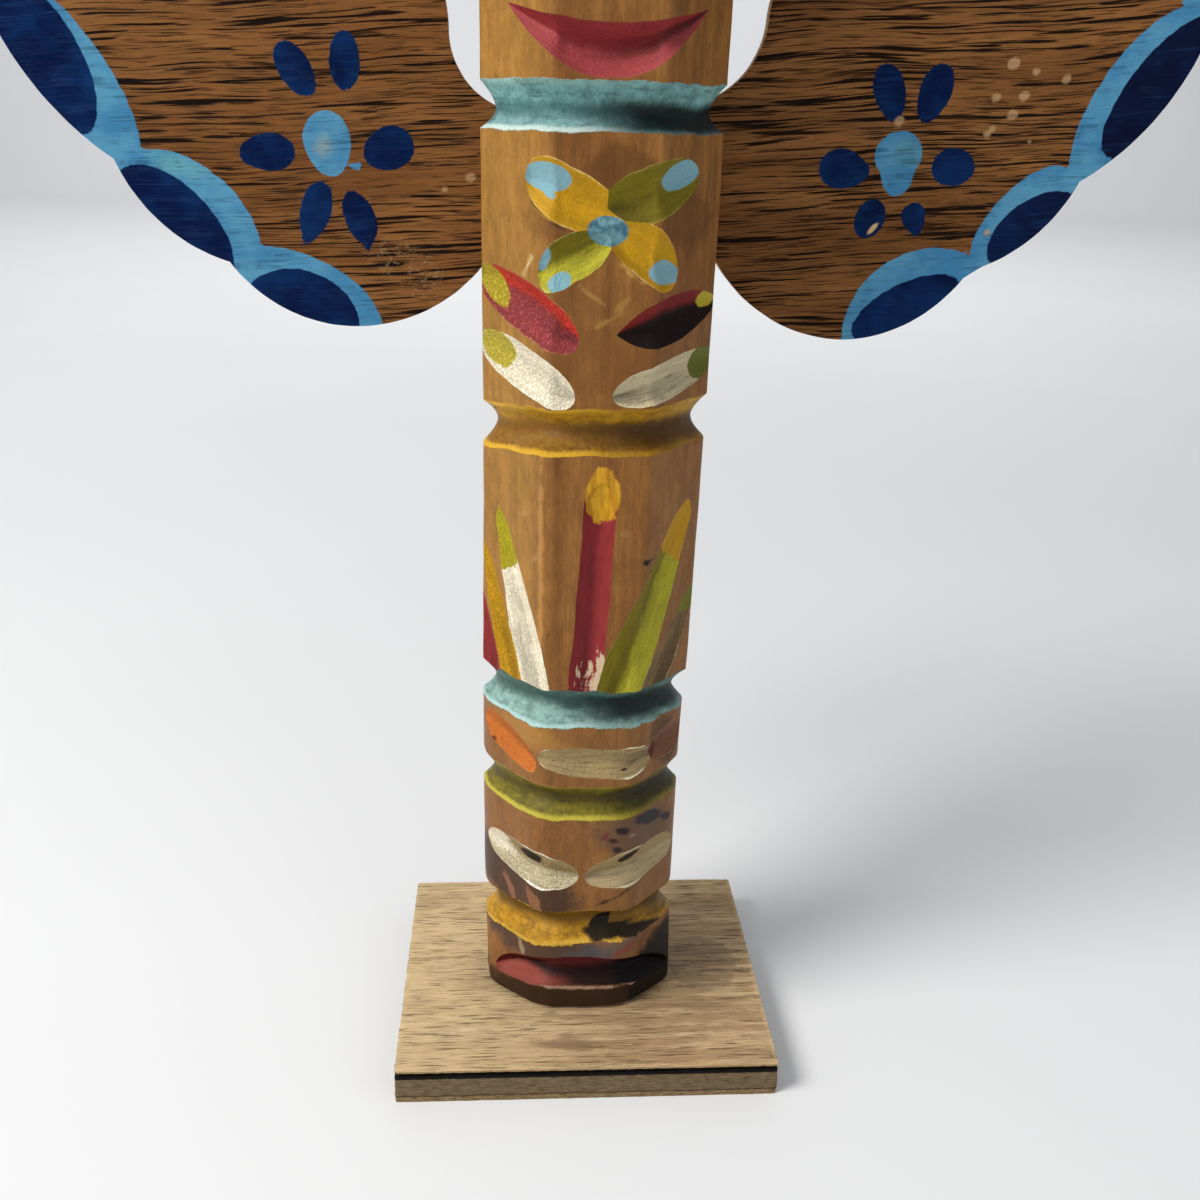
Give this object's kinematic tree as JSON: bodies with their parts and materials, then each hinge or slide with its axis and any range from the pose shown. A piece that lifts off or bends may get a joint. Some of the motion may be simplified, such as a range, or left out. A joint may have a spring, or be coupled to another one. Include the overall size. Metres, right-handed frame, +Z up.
{
  "type": "totem pole",
  "caption": "Small carved and painted wooden totem pole with spread scalloped wings on a thin board, standing on a square plywood plate.",
  "frame": {"origin": "centre of the plate's underside, on the surface that the part stands on", "axes": "+Z up the pole, +X to the right along the wings as seen from the front, +Y to the back, away from the carved front"},
  "size_m": [0.2404, 0.068, 0.2433],
  "materials": {
    "pole_wood": "oiled reddish brown wood with painted cuts and grooves",
    "wing_board": "oiled dark-grained wood with blue painted scallops and flowers",
    "base_ply": "raw, dry plywood"
  },
  "bodies": {
    "root": {"pole": "pole_wood", "wings": "wing_board", "base": "base_ply"}
  },
  "joints": []
}
